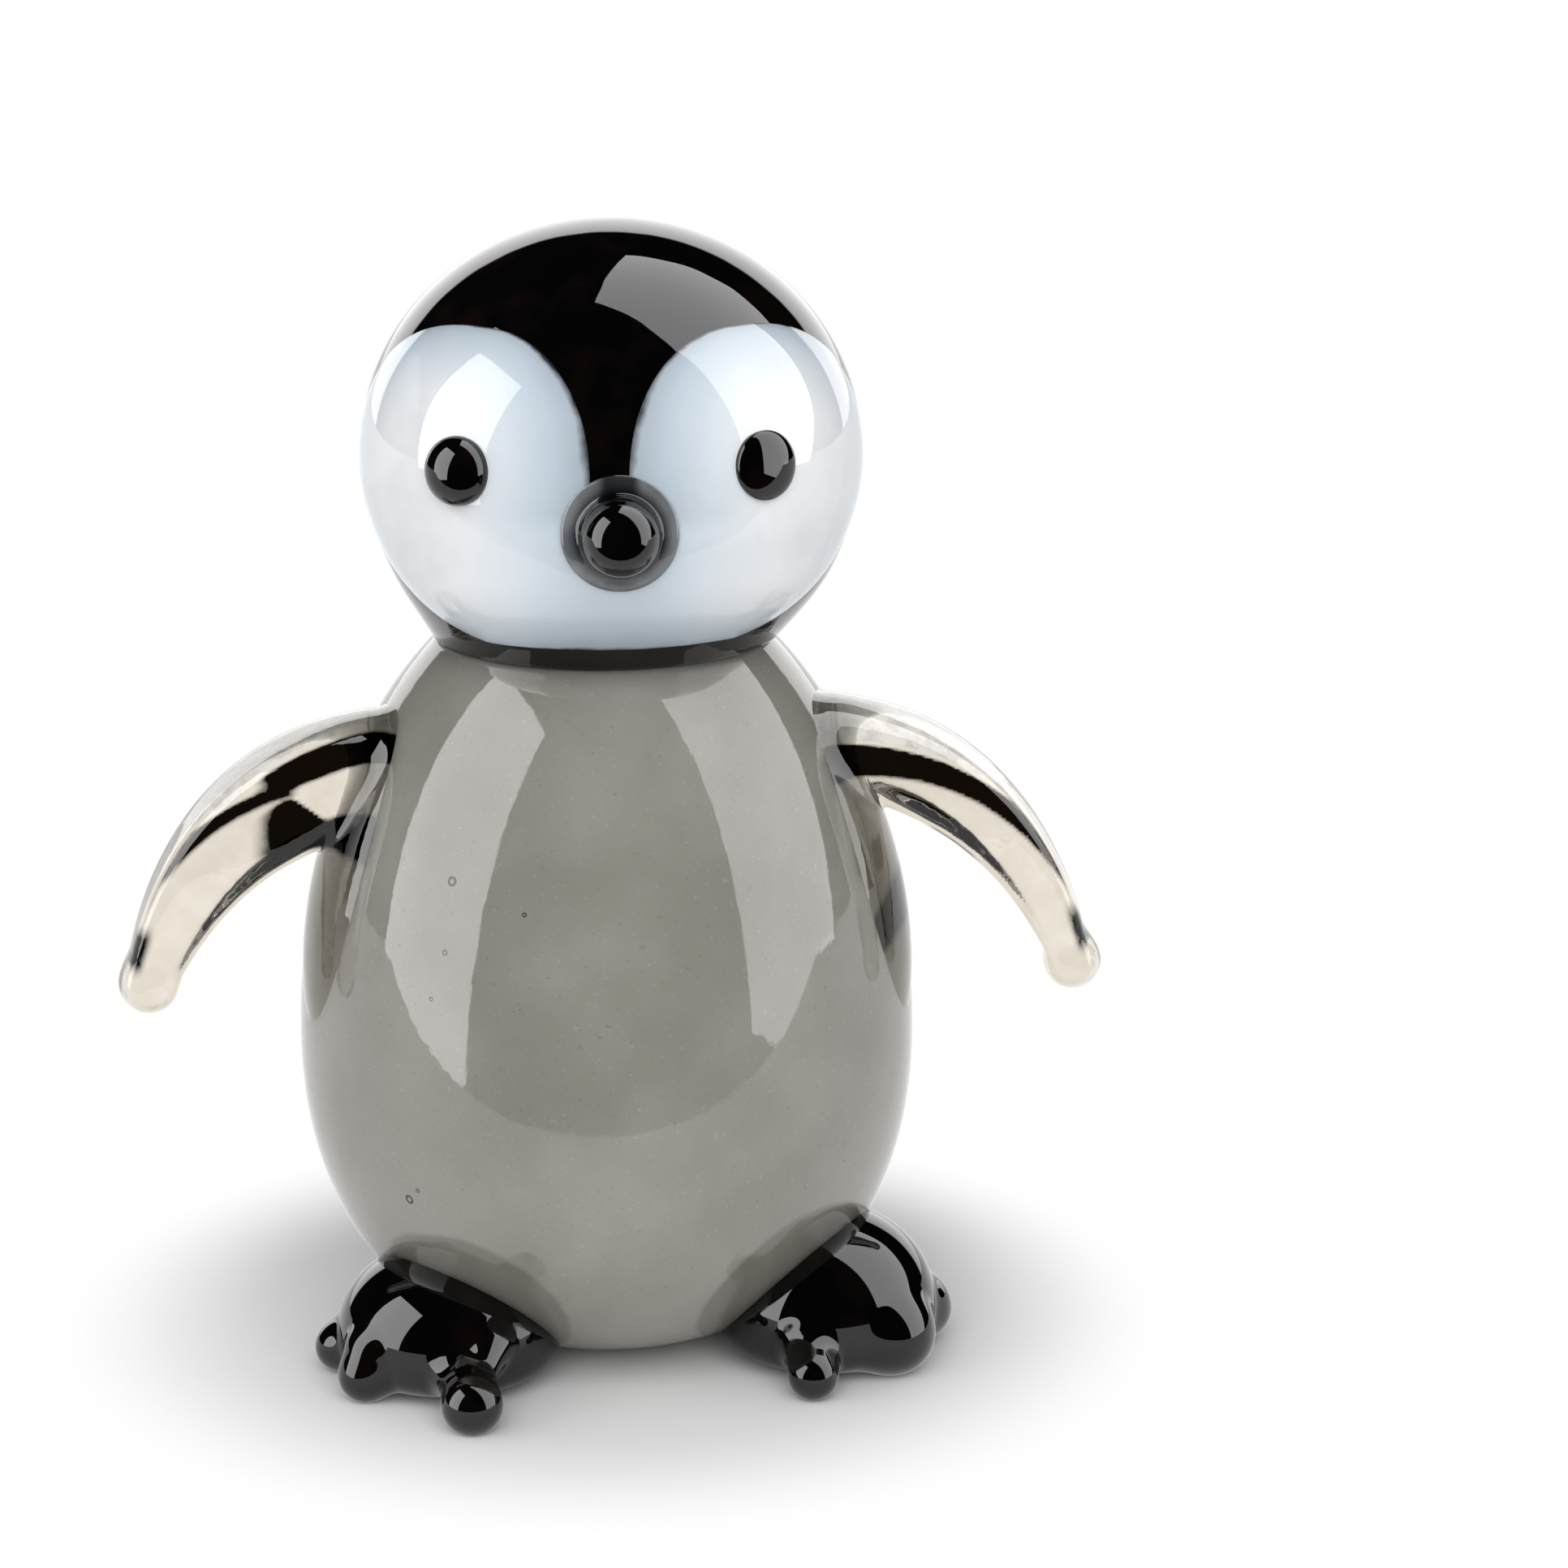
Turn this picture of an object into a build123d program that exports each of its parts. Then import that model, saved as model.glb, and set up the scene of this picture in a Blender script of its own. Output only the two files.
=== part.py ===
"""A lampworked glass penguin chick: solid gathers and dots of glass, melted onto each other face to face.

The figure faces -Y and stands on the floor at z = 0, with the body's upright axis through the origin.
Its own left side is +X. Azimuths are degrees from straight ahead, positive towards its left.
"""
from build123d import *
import math
import os

# Body: an egg with a flat underside, cut off level at the shoulders
body_radius = 6.17
belly_height = 6.14
shoulder_height = 14.26
neck_radius = 3.31
base_radius = 1.4
base_round_share = 0.47
side_round_share = 0.70

# Head: a flattened ball on a tapered neck, as wide below as the body's top
head_radius = 4.90
head_half_height = 4.56
head_offset = 0.20
neck_length = 3.68
neck_start_angle = 29.0
neck_start_share = 0.98

# White face: two broad dots and the strip under the beak where they meet
face_turn_angle = 1.3
cheek_spread_angle = 40.5
cheek_side_angle = 36.5
cheek_height_angle = 42.0
cheek_lift = 0.27
cheek_drop = 0.08
chin_top_angle = 10.0
chin_bottom_angle = 44.0
chin_side_angle = 35.0
chin_lift = 0.20

# Eyes: one bead stands proud, the other was melted nearly flush
eye_radius = 0.65
left_eye_spread_angle = 34.9
right_eye_spread_angle = 33.0
left_eye_rise_angle = 5.4
right_eye_rise_angle = 4.7
left_eye_bulge = 0.20
right_eye_bulge = 0.50

# Beak: a blunt nub on a flared foot, set a little below the middle of the face and tilted up a little
beak_foot_radius = 1.12
beak_foot_height = 0.34
beak_radius = 0.74
beak_length = 1.48
beak_root = 0.60
beak_turn_angle = 3.8
beak_drop_angle = 7.6
beak_lift_angle = 4.0
beak_waist_share = 0.44
beak_wall_share = 0.80
beak_tip_share = 0.62

# The feet and flippers are turned a little to the figure's left under the face
stance_turn_angle = 11.0
flipper_turn_angle = 4.5

# Flippers: pulled rods that arch out from the shoulders and droop to a bulb, each with a leaf-shaped weld
flipper_spread_angle = 83.0
left_flipper_height = 12.12
right_flipper_height = 11.75
left_flipper_reach = 9.35
right_flipper_reach = 9.15
left_flipper_drop = 4.47
right_flipper_drop = 4.13
left_flipper_thickness = 1.85
right_flipper_thickness = 2.35
flipper_breadth = 3.10
flipper_tip_radius = 0.56
flipper_root_depth = 1.60
flipper_rise_shares = (0.0, 0.0, -0.10, -0.28, -0.56, -0.78, -1.0)
flipper_out_shares = (0.0, 0.22, 0.48, 0.69, 0.85, 0.93, 1.0)
flipper_thick_shares = (1.12, 1.0, 0.92, 0.82, 0.70, 0.54, 0.38)
flipper_broad_shares = (1.0, 0.95, 0.85, 0.72, 0.56, 0.43, 0.30)
weld_spread_angle = 74.5
weld_height = 9.90
weld_radius = 2.95
weld_half_length = 5.25
weld_lift = 0.20

# Feet: rounded pads under the lower front of the body
foot_spread_angle = 53.6
foot_radius = 2.20
foot_height = 2.00
foot_middle_height = 0.80
left_foot_height_share = 1.09
right_foot_height_share = 0.93

# Toes: drops of glass on the front of each pad, inner to outer. The longest stand this far in front of the
# belly, and a pad's middle lies a lead behind them
toe_fan_angle = 24.5
toe_front = 0.53
left_toe_lead = 1.82
right_toe_lead = 2.21
toe_radius = 0.60
toe_neck_share = 0.62
toe_root_height = 1.15
left_toe_fan_shares = (-0.92, -0.22, 0.52)
right_toe_fan_shares = (-0.85, 0.07, 0.65)
left_toe_reach_shares = (0.93, 1.0, 0.96)
right_toe_reach_shares = (1.0, 0.985, 0.91)
left_toe_radius_shares = (0.84, 0.88, 1.0)
right_toe_radius_shares = (0.97, 0.75, 0.77)
toe_names = ("inner", "middle", "outer")

# Cutting blocks run past the figure by this much
overrun = 4.0

head_height = shoulder_height + neck_length
head_middle = Vector(head_offset, 0, head_height)
toe_reach = body_radius + toe_front
left_foot_reach = toe_reach - left_toe_lead
right_foot_reach = toe_reach - right_toe_lead
upper_half_height = (shoulder_height - belly_height) / math.sqrt(1 - (neck_radius / body_radius) ** 2)


def heading(azimuth, rise=0.0):
    """The unit direction at an azimuth and a rise above level, both in degrees."""
    turn = math.radians(azimuth)
    tilt = math.radians(rise)
    return Vector(math.sin(turn) * math.cos(tilt), -math.cos(turn) * math.cos(tilt), math.sin(tilt))


def body_radius_at(height):
    """The body's radius at a height above the belly."""
    return body_radius * math.sqrt(1 - ((height - belly_height) / upper_half_height) ** 2)


def turned(*edges):
    """The solid that a half outline in the upright plane makes when it turns round the Z axis."""
    return revolve(Plane.XZ * make_face(edges), Axis.Z)


def bow(level, radius, half_height, start_angle, end_angle):
    """An exact arc of an ellipse about a point on the axis, at a level, between two angles in degrees."""
    middle_weight = math.cos(math.radians(end_angle - start_angle) / 2)
    weights = [1, middle_weight, 1]
    places = []
    for angle, weight in zip((start_angle, (start_angle + end_angle) / 2, end_angle), weights):
        turn = math.radians(angle)
        places.append((radius * math.cos(turn) / weight, level + half_height * math.sin(turn) / weight))
    return Bezier(*places, weights=weights)


def spheroid(radius, half_height):
    """A ball of glass, round in plan, centred on the origin."""
    lower = bow(0, radius, half_height, -90, 0)
    upper = bow(0, radius, half_height, 0, 90)
    return turned(lower, upper, Line((0, half_height), (0, -half_height)))


def pointed_along(origin, direction):
    """The place at a point whose local Z axis runs along a direction."""
    return Plane(origin=origin, z_dir=direction).location


def body():
    """The grey egg: a full lower curve, an elliptical back and front, and a level top."""
    base_corner = (base_radius, 0)
    base_pull = (base_radius + base_round_share * (body_radius - base_radius), 0)
    side_pull = (body_radius, belly_height * (1 - side_round_share))
    waist = (body_radius, belly_height)
    shoulder = (neck_radius, shoulder_height)
    top_angle = math.degrees(math.acos(neck_radius / body_radius))
    return turned(
        Line((0, 0), base_corner),
        Bezier(base_corner, base_pull, side_pull, waist),
        bow(belly_height, body_radius, upper_half_height, 0, top_angle),
        Line(shoulder, (0, shoulder_height)),
        Line((0, shoulder_height), (0, 0)),
    )


def head():
    """The black ball, and the slightly leaning tapered neck that ends on the body's level top."""
    turn = math.radians(neck_start_angle)
    start_level = head_height - head_half_height * math.sin(turn)
    start_radius = neck_start_share * head_radius * math.cos(turn)
    neck = loft([
        Pos(0, 0, shoulder_height) * Circle(neck_radius),
        Pos(head_offset, 0, start_level) * Circle(start_radius),
    ])
    ball = Pos(head_middle) * spheroid(head_radius, head_half_height)
    width = 2 * (head_radius + overrun)
    below = Pos(0, 0, shoulder_height - head_radius / 2) * Box(width, width, head_radius)
    return ball + neck - below


def cheek_sizes():
    """How far a cheek dot's centre lies from the head's axis, and its radius and half height."""
    side = math.radians(cheek_side_angle)
    rise = math.radians(cheek_height_angle)
    crest = head_radius + cheek_lift
    out = (crest ** 2 - head_radius ** 2) / (2 * (crest - head_radius * math.cos(side)))
    radius = crest - out
    rim_out = head_radius * math.cos(rise)
    half_height = head_half_height * math.sin(rise) / math.sqrt(1 - ((rim_out - out) / radius) ** 2)
    return out, radius, half_height


def cheek_centre(side):
    """The centre of a cheek dot; side is 1 on the figure's left and -1 on its right."""
    out, _, _ = cheek_sizes()
    outward = heading(face_turn_angle + side * cheek_spread_angle)
    return head_middle + outward * out - Vector(0, 0, cheek_drop)


def chin_strip():
    """The white glass under the beak, as a ball drawn out sideways that shows above the head's surface."""
    rims = []
    for angle in (chin_top_angle, chin_bottom_angle):
        drop = math.radians(angle)
        rims.append((head_radius * math.cos(drop), -head_half_height * math.sin(drop)))
    (top_out, top_rise), (low_out, low_rise) = rims
    span = math.hypot(top_out - low_out, top_rise - low_rise)
    face_out = (top_rise - low_rise) / span
    face_rise = (low_out - top_out) / span
    middle = math.radians((chin_top_angle + chin_bottom_angle) / 2)
    skin_out = head_radius * math.cos(middle)
    skin_rise = -head_half_height * math.sin(middle)
    mid_out = (top_out + low_out) / 2
    mid_rise = (top_rise + low_rise) / 2
    crest = (skin_out - mid_out) * face_out + (skin_rise - mid_rise) * face_rise + chin_lift
    radius = ((span / 2) ** 2 + crest ** 2) / (2 * crest)
    centre_out = mid_out + face_out * (crest - radius)
    centre_rise = mid_rise + face_rise * (crest - radius)
    turn = math.radians(chin_side_angle)
    side_gap = math.hypot(skin_out * math.cos(turn) - centre_out, skin_rise - centre_rise)
    half_width = skin_out * math.sin(turn) / math.sqrt(1 - (side_gap / radius) ** 2)
    centre = head_middle + heading(face_turn_angle) * centre_out + Vector(0, 0, centre_rise)
    return pointed_along(centre, heading(face_turn_angle + 90)) * spheroid(radius, half_width)


def cheek(side, head_solid):
    """One half of the white face: a broad dot and its half of the strip under the beak."""
    _, radius, half_height = cheek_sizes()
    dot = Pos(cheek_centre(side)) * spheroid(radius, half_height)
    block = 2 * head_radius + overrun
    sideways = heading(face_turn_angle + side * 90) * (block / 2)
    half_place = head_middle + sideways + Vector(0, 0, block / 2 - neck_length)
    half_space = Pos(half_place) * Rot(0, 0, face_turn_angle) * Box(block, block, block)
    return ((dot + chin_strip()) & half_space) - head_solid


def cheek_surface(direction, side):
    """The point where a direction from the head's centre leaves a cheek dot."""
    _, radius, half_height = cheek_sizes()
    gap = head_middle - cheek_centre(side)
    stretch = (1 / radius, 1 / radius, 1 / half_height)
    run = [d * s for d, s in zip(direction, stretch)]
    start = [g * s for g, s in zip(gap, stretch)]
    a = sum(r * r for r in run)
    b = 2 * sum(r * s for r, s in zip(run, start))
    c = sum(s * s for s in start) - 1
    return head_middle + direction * ((-b + math.sqrt(b * b - 4 * a * c)) / (2 * a))


def eye(side, spread, rise, bulge):
    """A bead of black glass on a cheek, before the cheek is cut from it."""
    direction = heading(face_turn_angle + side * spread, rise)
    return pointed_along(cheek_surface(direction, side), direction) * spheroid(eye_radius, bulge)


def beak():
    """A flared foot that narrows to a round-tipped nub, before the face is cut from it."""
    seat_direction = heading(beak_turn_angle, -beak_drop_angle)
    drop = math.radians(beak_drop_angle)
    reach = 1 / math.hypot(math.cos(drop) / head_radius, math.sin(drop) / head_half_height)
    rim = (beak_foot_radius, beak_foot_height)
    waist = (beak_radius, beak_waist_share * beak_length)
    nub = turned(
        Line((0, -beak_root), (beak_foot_radius, -beak_root)),
        Line((beak_foot_radius, -beak_root), rim),
        Bezier(rim, (beak_radius, beak_foot_height), waist),
        Bezier(
            waist,
            (beak_radius, beak_wall_share * beak_length),
            (beak_tip_share * beak_radius, beak_length),
            (0, beak_length),
        ),
        Line((0, beak_length), (0, -beak_root)),
    )
    seat = head_middle + seat_direction * reach
    return pointed_along(seat, heading(beak_turn_angle, beak_lift_angle)) * nub


def flipper(side, height, reach, drop, thickness):
    """A drooping rod with a bulb tip and the leaf-shaped weld that runs down the body."""
    across = heading(flipper_turn_angle + side * flipper_spread_angle)
    fore = heading(flipper_turn_angle + side * (flipper_spread_angle - 90))
    upward = Vector(0, 0, 1)
    root_out = body_radius_at(height) - flipper_root_depth
    span = reach - root_out
    points = []
    for out_share, rise_share in zip(flipper_out_shares, flipper_rise_shares):
        out = root_out + out_share * span
        points.append(across * out + upward * (height + rise_share * drop))
    sections = []
    for index, point in enumerate(points):
        before = points[max(index - 1, 0)]
        after = points[min(index + 1, len(points) - 1)]
        place = Plane(origin=point, x_dir=fore, z_dir=(after - before).normalized())
        thick = thickness * flipper_thick_shares[index] / 2
        broad = flipper_breadth * flipper_broad_shares[index] / 2
        sections.append(place * Ellipse(broad, thick))
    rod = loft(sections)
    bulb = Pos(points[-1]) * Sphere(flipper_tip_radius)
    return rod + bulb + weld(side)


def weld(side):
    """The leaf-shaped smear where a flipper was melted on, along the slope of the body's side."""
    across = heading(flipper_turn_angle + side * weld_spread_angle)
    upward = Vector(0, 0, 1)
    ratio = (weld_height - belly_height) / upper_half_height
    slope = body_radius * ratio / (upper_half_height * math.sqrt(1 - ratio ** 2))
    along = (upward - across * slope).normalized()
    outward = (across + upward * slope).normalized()
    seat = across * body_radius_at(weld_height) + upward * weld_height
    centre = seat + outward * (weld_lift - weld_radius)
    return pointed_along(centre, along) * spheroid(weld_radius, weld_half_length)


def floor_block():
    """A block with its top on the floor, to cut what would reach through it."""
    width = 2 * (left_flipper_reach + overrun)
    return Pos(0, 0, -overrun / 2) * Box(width, width, overrun)


def foot(side, reach, height_share):
    """A rounded pad, flat underneath, before the body is cut from it."""
    outward = heading(stance_turn_angle + side * foot_spread_angle)
    centre = outward * reach + Vector(0, 0, foot_middle_height)
    return Pos(centre) * spheroid(foot_radius, foot_height * height_share) - floor_block()


def toe(side, foot_reach, fan_share, reach_share, radius_share):
    """A drop of glass with a tapered root that runs back into the pad, before the pad is cut from it."""
    radius = toe_radius * radius_share
    outward = heading(stance_turn_angle + side * (foot_spread_angle + fan_share * toe_fan_angle))
    ball_place = outward * (toe_reach * reach_share) + Vector(0, 0, radius)
    pad_middle = heading(stance_turn_angle + side * foot_spread_angle) * foot_reach
    run = pad_middle + Vector(0, 0, toe_root_height) - ball_place
    root = Cone(radius, toe_neck_share * radius, run.length)
    return Pos(ball_place) * Sphere(radius) + pointed_along(ball_place + run / 2, run) * root


def build():
    """Every piece by name, each cut by the larger piece that it was melted onto."""
    trunk = body()
    skull = head()
    cheeks = [cheek(1, skull), cheek(-1, skull)]
    left_flipper = flipper(
        1, left_flipper_height, left_flipper_reach, left_flipper_drop, left_flipper_thickness)
    right_flipper = flipper(
        -1, right_flipper_height, right_flipper_reach, right_flipper_drop, right_flipper_thickness)
    left_eye = eye(1, left_eye_spread_angle, left_eye_rise_angle, left_eye_bulge)
    right_eye = eye(-1, right_eye_spread_angle, right_eye_rise_angle, right_eye_bulge)
    pieces = {
        "body": trunk,
        "head": skull,
        "cheek_left": cheeks[0],
        "cheek_right": cheeks[1],
        "beak": beak().cut(skull, *cheeks),
        "eye_left": left_eye.cut(skull, *cheeks),
        "eye_right": right_eye.cut(skull, *cheeks),
        "flipper_left": left_flipper.cut(trunk, skull),
        "flipper_right": right_flipper.cut(trunk, skull),
        "foot_left": foot(1, left_foot_reach, left_foot_height_share) - trunk,
        "foot_right": foot(-1, right_foot_reach, right_foot_height_share) - trunk,
    }
    left_toes = zip(toe_names, left_toe_fan_shares, left_toe_reach_shares, left_toe_radius_shares)
    for name, *shares in left_toes:
        pieces["toe_left_" + name] = toe(1, left_foot_reach, *shares).cut(pieces["foot_left"], trunk)
    right_toes = zip(toe_names, right_toe_fan_shares, right_toe_reach_shares, right_toe_radius_shares)
    for name, *shares in right_toes:
        pieces["toe_right_" + name] = toe(-1, right_foot_reach, *shares).cut(pieces["foot_right"], trunk)
    return pieces


os.makedirs("parts", exist_ok=True)
for node, shape in build().items():
    export_step(shape, "parts/" + node + ".step")
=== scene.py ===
"""The looks of a small lampworked glass penguin chick: grey body, black head, white face, clear flippers.

Sizes are in millimetres in the part's own frame: +Z up, the face looks along -Y, the figure's own left is +X.
Azimuths are degrees from straight ahead, positive towards the figure's left.
"""

import math

import bmesh
import bpy
import numpy as np
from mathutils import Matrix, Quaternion, Vector


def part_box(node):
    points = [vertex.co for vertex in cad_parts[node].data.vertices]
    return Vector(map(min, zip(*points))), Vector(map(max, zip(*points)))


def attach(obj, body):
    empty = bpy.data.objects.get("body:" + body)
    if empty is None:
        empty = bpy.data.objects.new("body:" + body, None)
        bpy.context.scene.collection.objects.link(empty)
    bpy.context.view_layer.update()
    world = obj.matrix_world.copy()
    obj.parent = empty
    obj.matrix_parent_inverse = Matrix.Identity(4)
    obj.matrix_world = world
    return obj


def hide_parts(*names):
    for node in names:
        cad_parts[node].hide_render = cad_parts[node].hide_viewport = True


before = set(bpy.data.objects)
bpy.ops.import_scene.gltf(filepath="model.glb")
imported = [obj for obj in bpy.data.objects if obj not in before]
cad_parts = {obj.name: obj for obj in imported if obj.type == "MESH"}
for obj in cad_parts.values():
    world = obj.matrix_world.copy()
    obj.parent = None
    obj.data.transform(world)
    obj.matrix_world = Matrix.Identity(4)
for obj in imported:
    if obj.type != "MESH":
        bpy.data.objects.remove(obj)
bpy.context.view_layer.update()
MM = 0.001


def solid_box(node):
    """The lowest and highest corner of a solid, in millimetres."""
    low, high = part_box(node)
    return np.array(low) / MM, np.array(high) / MM


# Sizes read off the solids
body_low, body_high = solid_box("body")
head_low, head_high = solid_box("head")
body_radius = (body_high[0] - body_low[0]) / 2
shoulder_height = body_high[2]
head_radius = (head_high[0] - head_low[0]) / 2
head_offset = (head_high[0] + head_low[0]) / 2

# Body: an egg with a flat underside
belly_height = 6.14
neck_radius = 3.31
base_radius = 1.4
base_round_share = 0.47
side_round_share = 0.70
body_bubbles = (
    ((-2.72, -4.76, 10.53), 0.085),
    ((-2.86, -5.09, 9.22), 0.050),
    ((-3.14, -5.12, 8.31), 0.040),
    ((-1.32, -5.47, 10.08), 0.040),
    ((-3.67, -4.68, 4.11), 0.085),
    ((-3.49, -4.88, 4.36), 0.040))
# Painted shade: darker patches on the body, one round each foot, where the black feet show through the grey
# glass
painted_foot_shades = (((-2.54, -4.01, 1.80), 2.0), ((3.71, -3.29, 1.80), 2.1))
upper_half_height = (shoulder_height - belly_height) / math.sqrt(1 - (neck_radius / body_radius) ** 2)

# Head: a flattened ball, and the neck that makes the black collar
head_half_height = 4.56
neck_start_angle = 29.0
neck_start_share = 0.98
neck_ease = 0.4
neck_melt = 0.5
collar_round = 0.12
head_middle = np.array([head_offset, 0.0, head_high[2] - head_half_height])

# White face: two lobes that run together under the beak, laid out in degrees round the head's middle
face_turn = 1.7
lobe_spread = 38.5
lobe_inner = 34.2
lobe_outer = 47.0
lobe_level = 3.0
lobe_rise = 36.6
chin_fall = 45.0
chin_corner_share = 0.22
stripe_end_level = -16.0
stripe_full_level = -4.0
lobe_squareness = 2.3
face_lift = 0.27
chin_lift = 0.15
chin_lift_levels = (12.0, 34.0)
face_depth = 0.25
# Painted shade: towards the middle of the face the white's thickness is scaled down, so it shows darker and
# bluer
middle_shade_share = 0.22
middle_shade_width = (2.0, 46.0)

# Eyes: one bead stands proud, the other is nearly flush
eye_radius = 0.66
eye_root = 0.35
eye_root_share = 0.9
eye_turn = 1.3

# Beak: a blunt nub with a flared foot
beak_turn = 3.8
beak_drop_angle = 7.6
beak_lift_angle = 4.0
beak_foot_radius = 1.10
beak_foot_height = 0.10
beak_radius = 0.74
beak_waist_height = 0.45
beak_wall_height = 0.95
beak_tip_radius = 0.50
beak_length = 1.28
beak_root = 0.80
smoke_radii = (0.74, 1.04)
stripe_heights = (0.25, 0.60)
stripe_widths = (0.25, 0.45)
stripe_strength = 0.85

# Flippers
flipper_turn = 4.5
flipper_spread = 83.0
flipper_breadth = 3.10
flipper_root_depth = 1.60
flipper_bend_shares = ((0.0, 0.0), (0.472, 0.06), (0.827, -0.27), (1.0, -1.0))
flipper_root_squareness = 2.2
flipper_front_squareness = 5.0
flipper_back_squareness = 2.6
flipper_flat_shares = (0.15, 0.50)
flipper_thick_taper = (1.0, 0.10, -0.68)
flipper_broad_taper = (0.95, -0.15, -0.45)
flipper_set = 0.35
flipper_tip_radius = 0.56
tip_melt = 0.3
weld_spread = 74.5
weld_height = 9.90
weld_radius = 2.95
weld_half_length = 5.25
weld_lift = 0.20
weld_melt = 0.25

# Feet and toes
stance_turn = 11.0
foot_spread = 53.6
foot_radius = 2.20
foot_middle_height = 1.00
foot_sole_squareness = 3.5
toe_fan = 24.5
toe_reach = 6.70
toe_radius = 0.60
toe_melt = 0.30

# How fine the meshes are
head_step = 0.11
face_step = 0.09
flipper_step = 0.075
foot_step = 0.06
body_rings = 90
body_sides = 256


def heading(azimuth, rise=0.0):
    """The unit direction at an azimuth and a rise above level, both in degrees."""
    turn = math.radians(azimuth)
    tilt = math.radians(rise)
    return np.array([math.sin(turn) * math.cos(tilt), -math.cos(turn) * math.cos(tilt), math.sin(tilt)])


def unit(vector):
    """A vector at length one."""
    return vector / np.linalg.norm(vector)


UP = np.array([0.0, 0.0, 1.0])


# Fields: how far a point lies outside a lump of glass


def egg(points, middle, sizes):
    """The distance outside an ellipsoid with its half sizes along the axes."""
    scaled = (points - middle) / sizes
    near = np.sqrt((scaled ** 2).sum(-1)) + 1e-9
    steep = np.sqrt(((scaled / sizes) ** 2).sum(-1)) + 1e-9
    return near * (near - 1) / steep


def melted(first, second, melt):
    """Two lumps run together with a soft fillet."""
    blend = np.maximum(melt - np.abs(first - second), 0) / melt
    return np.minimum(first, second) - blend ** 2 * melt / 4


def trimmed(first, second, melt):
    """What two lumps share, with a soft edge."""
    return -melted(-first, -second, melt)


def drawn(points, start, end, start_radius, end_radius):
    """A round rod that tapers from one ball to another."""
    run = end - start
    share = np.clip(((points - start) @ run) / (run @ run), 0, 1)
    away = points - start - share[..., None] * run
    return np.sqrt((away ** 2).sum(-1)) - (start_radius + share * (end_radius - start_radius))


def turned_into(points, middle, axes):
    """Points in the directions of three axes about a middle."""
    return (points - middle) @ np.array(axes).T


# Meshes


def slope(field, points, reach=0.004):
    """How a field rises at each point."""
    steps = np.eye(3) * reach
    return np.stack([(field(points + step) - field(points - step)) / (2 * reach) for step in steps], axis=-1)


def normals_of(field, points):
    """The unit normals of a field's surface at each point."""
    rise = slope(field, points)
    return rise / np.linalg.norm(rise, axis=-1)[:, None]


def skin(field, low, high, step):
    """Points and four-sided faces on the surface where a field is zero, inside a box."""
    axes = [np.arange(start, end + step, step) for start, end in zip(low, high)]
    grid = np.stack(np.meshgrid(*axes, indexing="ij"), axis=-1)
    value = field(grid)
    cells = tuple(n - 1 for n in value.shape)
    total = np.zeros(cells + (3,))
    hits = np.zeros(cells)
    for axis in range(3):
        level = np.moveaxis(value, axis, 0)
        place = np.moveaxis(grid, axis, 0)
        crossed = (level[:-1] < 0) != (level[1:] < 0)
        share = np.where(crossed, level[:-1] / np.where(crossed, level[:-1] - level[1:], 1), 0)
        point = (place[:-1] + share[..., None] * (place[1:] - place[:-1])) * crossed[..., None]
        cell_total = np.moveaxis(total, axis, 0)
        cell_hits = np.moveaxis(hits, axis, 0)
        _, wide, tall = cell_hits.shape
        for j in (0, 1):
            for k in (0, 1):
                cell_total += point[:, j:j + wide, k:k + tall]
                cell_hits += crossed[:, j:j + wide, k:k + tall]
    used = hits > 0
    index = np.full(cells, -1)
    index[used] = np.arange(used.sum())
    points = total[used] / hits[used][:, None]
    faces = []
    for axis in range(3):
        level = np.moveaxis(value, axis, 0)[:, 1:-1, 1:-1]
        number = np.moveaxis(index, axis, 0)
        crossed = (level[:-1] < 0) != (level[1:] < 0)
        ring = np.stack([number[:, :-1, :-1], number[:, 1:, :-1],
                         number[:, 1:, 1:], number[:, :-1, 1:]], axis=-1)
        quads = ring[crossed]
        flip = (level[:-1] > 0)[crossed] ^ (axis == 1)
        quads[flip] = quads[flip][:, ::-1]
        faces.append(quads)
    for _ in range(4):
        rise = slope(field, points)
        points = points - (field(points) / ((rise ** 2).sum(-1) + 1e-9))[:, None] * rise
    return points, np.concatenate(faces)


def linked(name, data):
    """A new object in the scene."""
    made = bpy.data.objects.new(name, data)
    bpy.context.scene.collection.objects.link(made)
    return made


def piece(name, material, points, faces, replaces, normals=None, values=None):
    """One glass piece in place of its solids, riding the figure's one body. Its material reads the values."""
    mesh = bpy.data.meshes.new(name)
    mesh.from_pydata((points * MM).tolist(), [], [list(face) for face in faces])
    mesh.update()
    mesh.shade_smooth()
    for value, numbers in (values or {}).items():
        mesh.attributes.new(value, "FLOAT", "POINT").data.foreach_set("value", numbers.astype(np.float32))
    if normals is not None:
        mesh.normals_split_custom_set_from_vertices(normals.tolist())
    made = linked(name, mesh)
    mesh.materials.append(material)
    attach(made, "root")
    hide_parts(*replaces)
    return made


def poured(name, material, field, low, high, step, replaces, painted_light=None):
    """A piece meshed from its field; where given, the last argument sets each point's painted shade and
    painted highlight.
    """
    points, faces = skin(field, low, high, step)
    values = {"shade": painted_light(points)} if painted_light else None
    return piece(name, material, points, faces, replaces, normals_of(field, points), values)


def eased(value, low, high):
    """0 below a low value and 1 above a high one, with a soft step."""
    t = np.clip((value - low) / (high - low), 0, 1)
    return t * t * (3 - 2 * t)


def banded(value, start, full, fade, end):
    """1 from a full value to a fading one, with a soft step on either side."""
    return eased(value, start, full) * (1 - eased(value, fade, end))


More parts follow.
